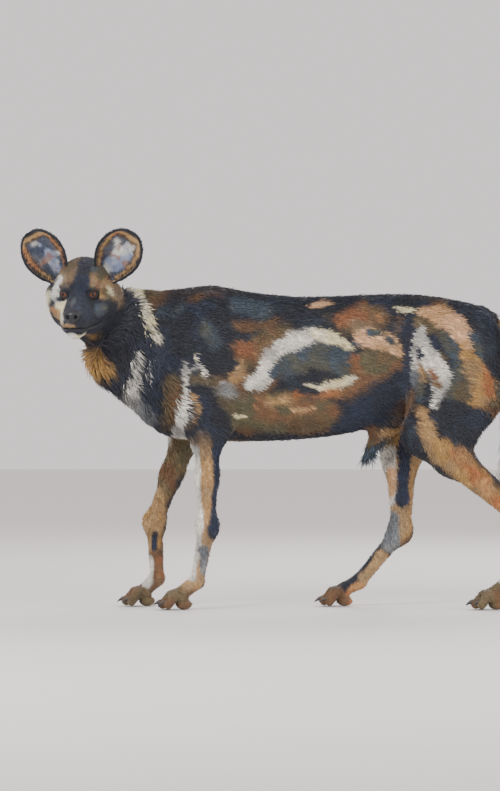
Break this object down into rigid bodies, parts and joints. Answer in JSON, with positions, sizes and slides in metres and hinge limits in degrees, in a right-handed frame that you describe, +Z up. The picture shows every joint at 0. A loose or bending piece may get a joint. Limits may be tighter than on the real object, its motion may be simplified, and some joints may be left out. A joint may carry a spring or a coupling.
{
  "type": "african wild dog",
  "caption": "Life-size still figure of a wild dog in mid-stride with its head turned to the side, big round ears up and its tail hanging.",
  "frame": {"origin": "on the ground, under the middle of the animal's bounding box", "axes": "+Z up, +X towards the tail, +Y towards the animal's right side; the body faces -X"},
  "size_m": [1.1202, 0.3018, 0.8249],
  "materials": {
    "claw_forepaw_left_1": "dull horn",
    "claw_forepaw_left_2": "dull horn",
    "claw_forepaw_left_3": "dull horn",
    "claw_forepaw_left_4": "dull horn",
    "claw_forepaw_right_1": "dull horn",
    "claw_forepaw_right_2": "dull horn",
    "claw_forepaw_right_3": "dull horn",
    "claw_forepaw_right_4": "dull horn",
    "claw_hindpaw_left_1": "dull horn",
    "claw_hindpaw_left_2": "dull horn",
    "claw_hindpaw_left_3": "dull horn",
    "claw_hindpaw_left_4": "dull horn",
    "claw_hindpaw_right_1": "dull horn",
    "claw_hindpaw_right_2": "dull horn",
    "claw_hindpaw_right_3": "dull horn",
    "claw_hindpaw_right_4": "dull horn",
    "ear_left": "short soft hair",
    "ear_right": "short soft hair",
    "eye_left": "wet, dark brown",
    "eye_right": "wet, dark brown",
    "foreleg_left": "short hair",
    "foreleg_right": "short hair",
    "forepaw_left": "short dense hair",
    "forepaw_right": "short dense hair",
    "head": "short wiry hair",
    "hindleg_left": "short hair",
    "hindleg_right": "short hair",
    "hindpaw_left": "short dense hair",
    "hindpaw_right": "short dense hair",
    "neck": "short wiry hair",
    "nose": "moist, dark",
    "tail": "long loose hair",
    "tail_brush": "long loose hair",
    "tail_tip": "long loose hair",
    "torso": "short wiry hair"
  },
  "bodies": {
    "root": {"claw_forepaw_left_1": "claw_forepaw_left_1", "claw_forepaw_left_2": "claw_forepaw_left_2", "claw_forepaw_left_3": "claw_forepaw_left_3", "claw_forepaw_left_4": "claw_forepaw_left_4", "claw_forepaw_right_1": "claw_forepaw_right_1", "claw_forepaw_right_2": "claw_forepaw_right_2", "claw_forepaw_right_3": "claw_forepaw_right_3", "claw_forepaw_right_4": "claw_forepaw_right_4", "claw_hindpaw_left_1": "claw_hindpaw_left_1", "claw_hindpaw_left_2": "claw_hindpaw_left_2", "claw_hindpaw_left_3": "claw_hindpaw_left_3", "claw_hindpaw_left_4": "claw_hindpaw_left_4", "claw_hindpaw_right_1": "claw_hindpaw_right_1", "claw_hindpaw_right_2": "claw_hindpaw_right_2", "claw_hindpaw_right_3": "claw_hindpaw_right_3", "claw_hindpaw_right_4": "claw_hindpaw_right_4", "ear_left": "ear_left", "ear_right": "ear_right", "eye_left": "eye_left", "eye_right": "eye_right", "foreleg_left": "foreleg_left", "foreleg_right": "foreleg_right", "forepaw_left": "forepaw_left", "forepaw_right": "forepaw_right", "head": "head", "hindleg_left": "hindleg_left", "hindleg_right": "hindleg_right", "hindpaw_left": "hindpaw_left", "hindpaw_right": "hindpaw_right", "neck": "neck", "nose": "nose", "tail": "tail", "tail_brush": "tail_brush", "tail_tip": "tail_tip", "torso": "torso"}
  },
  "joints": []
}
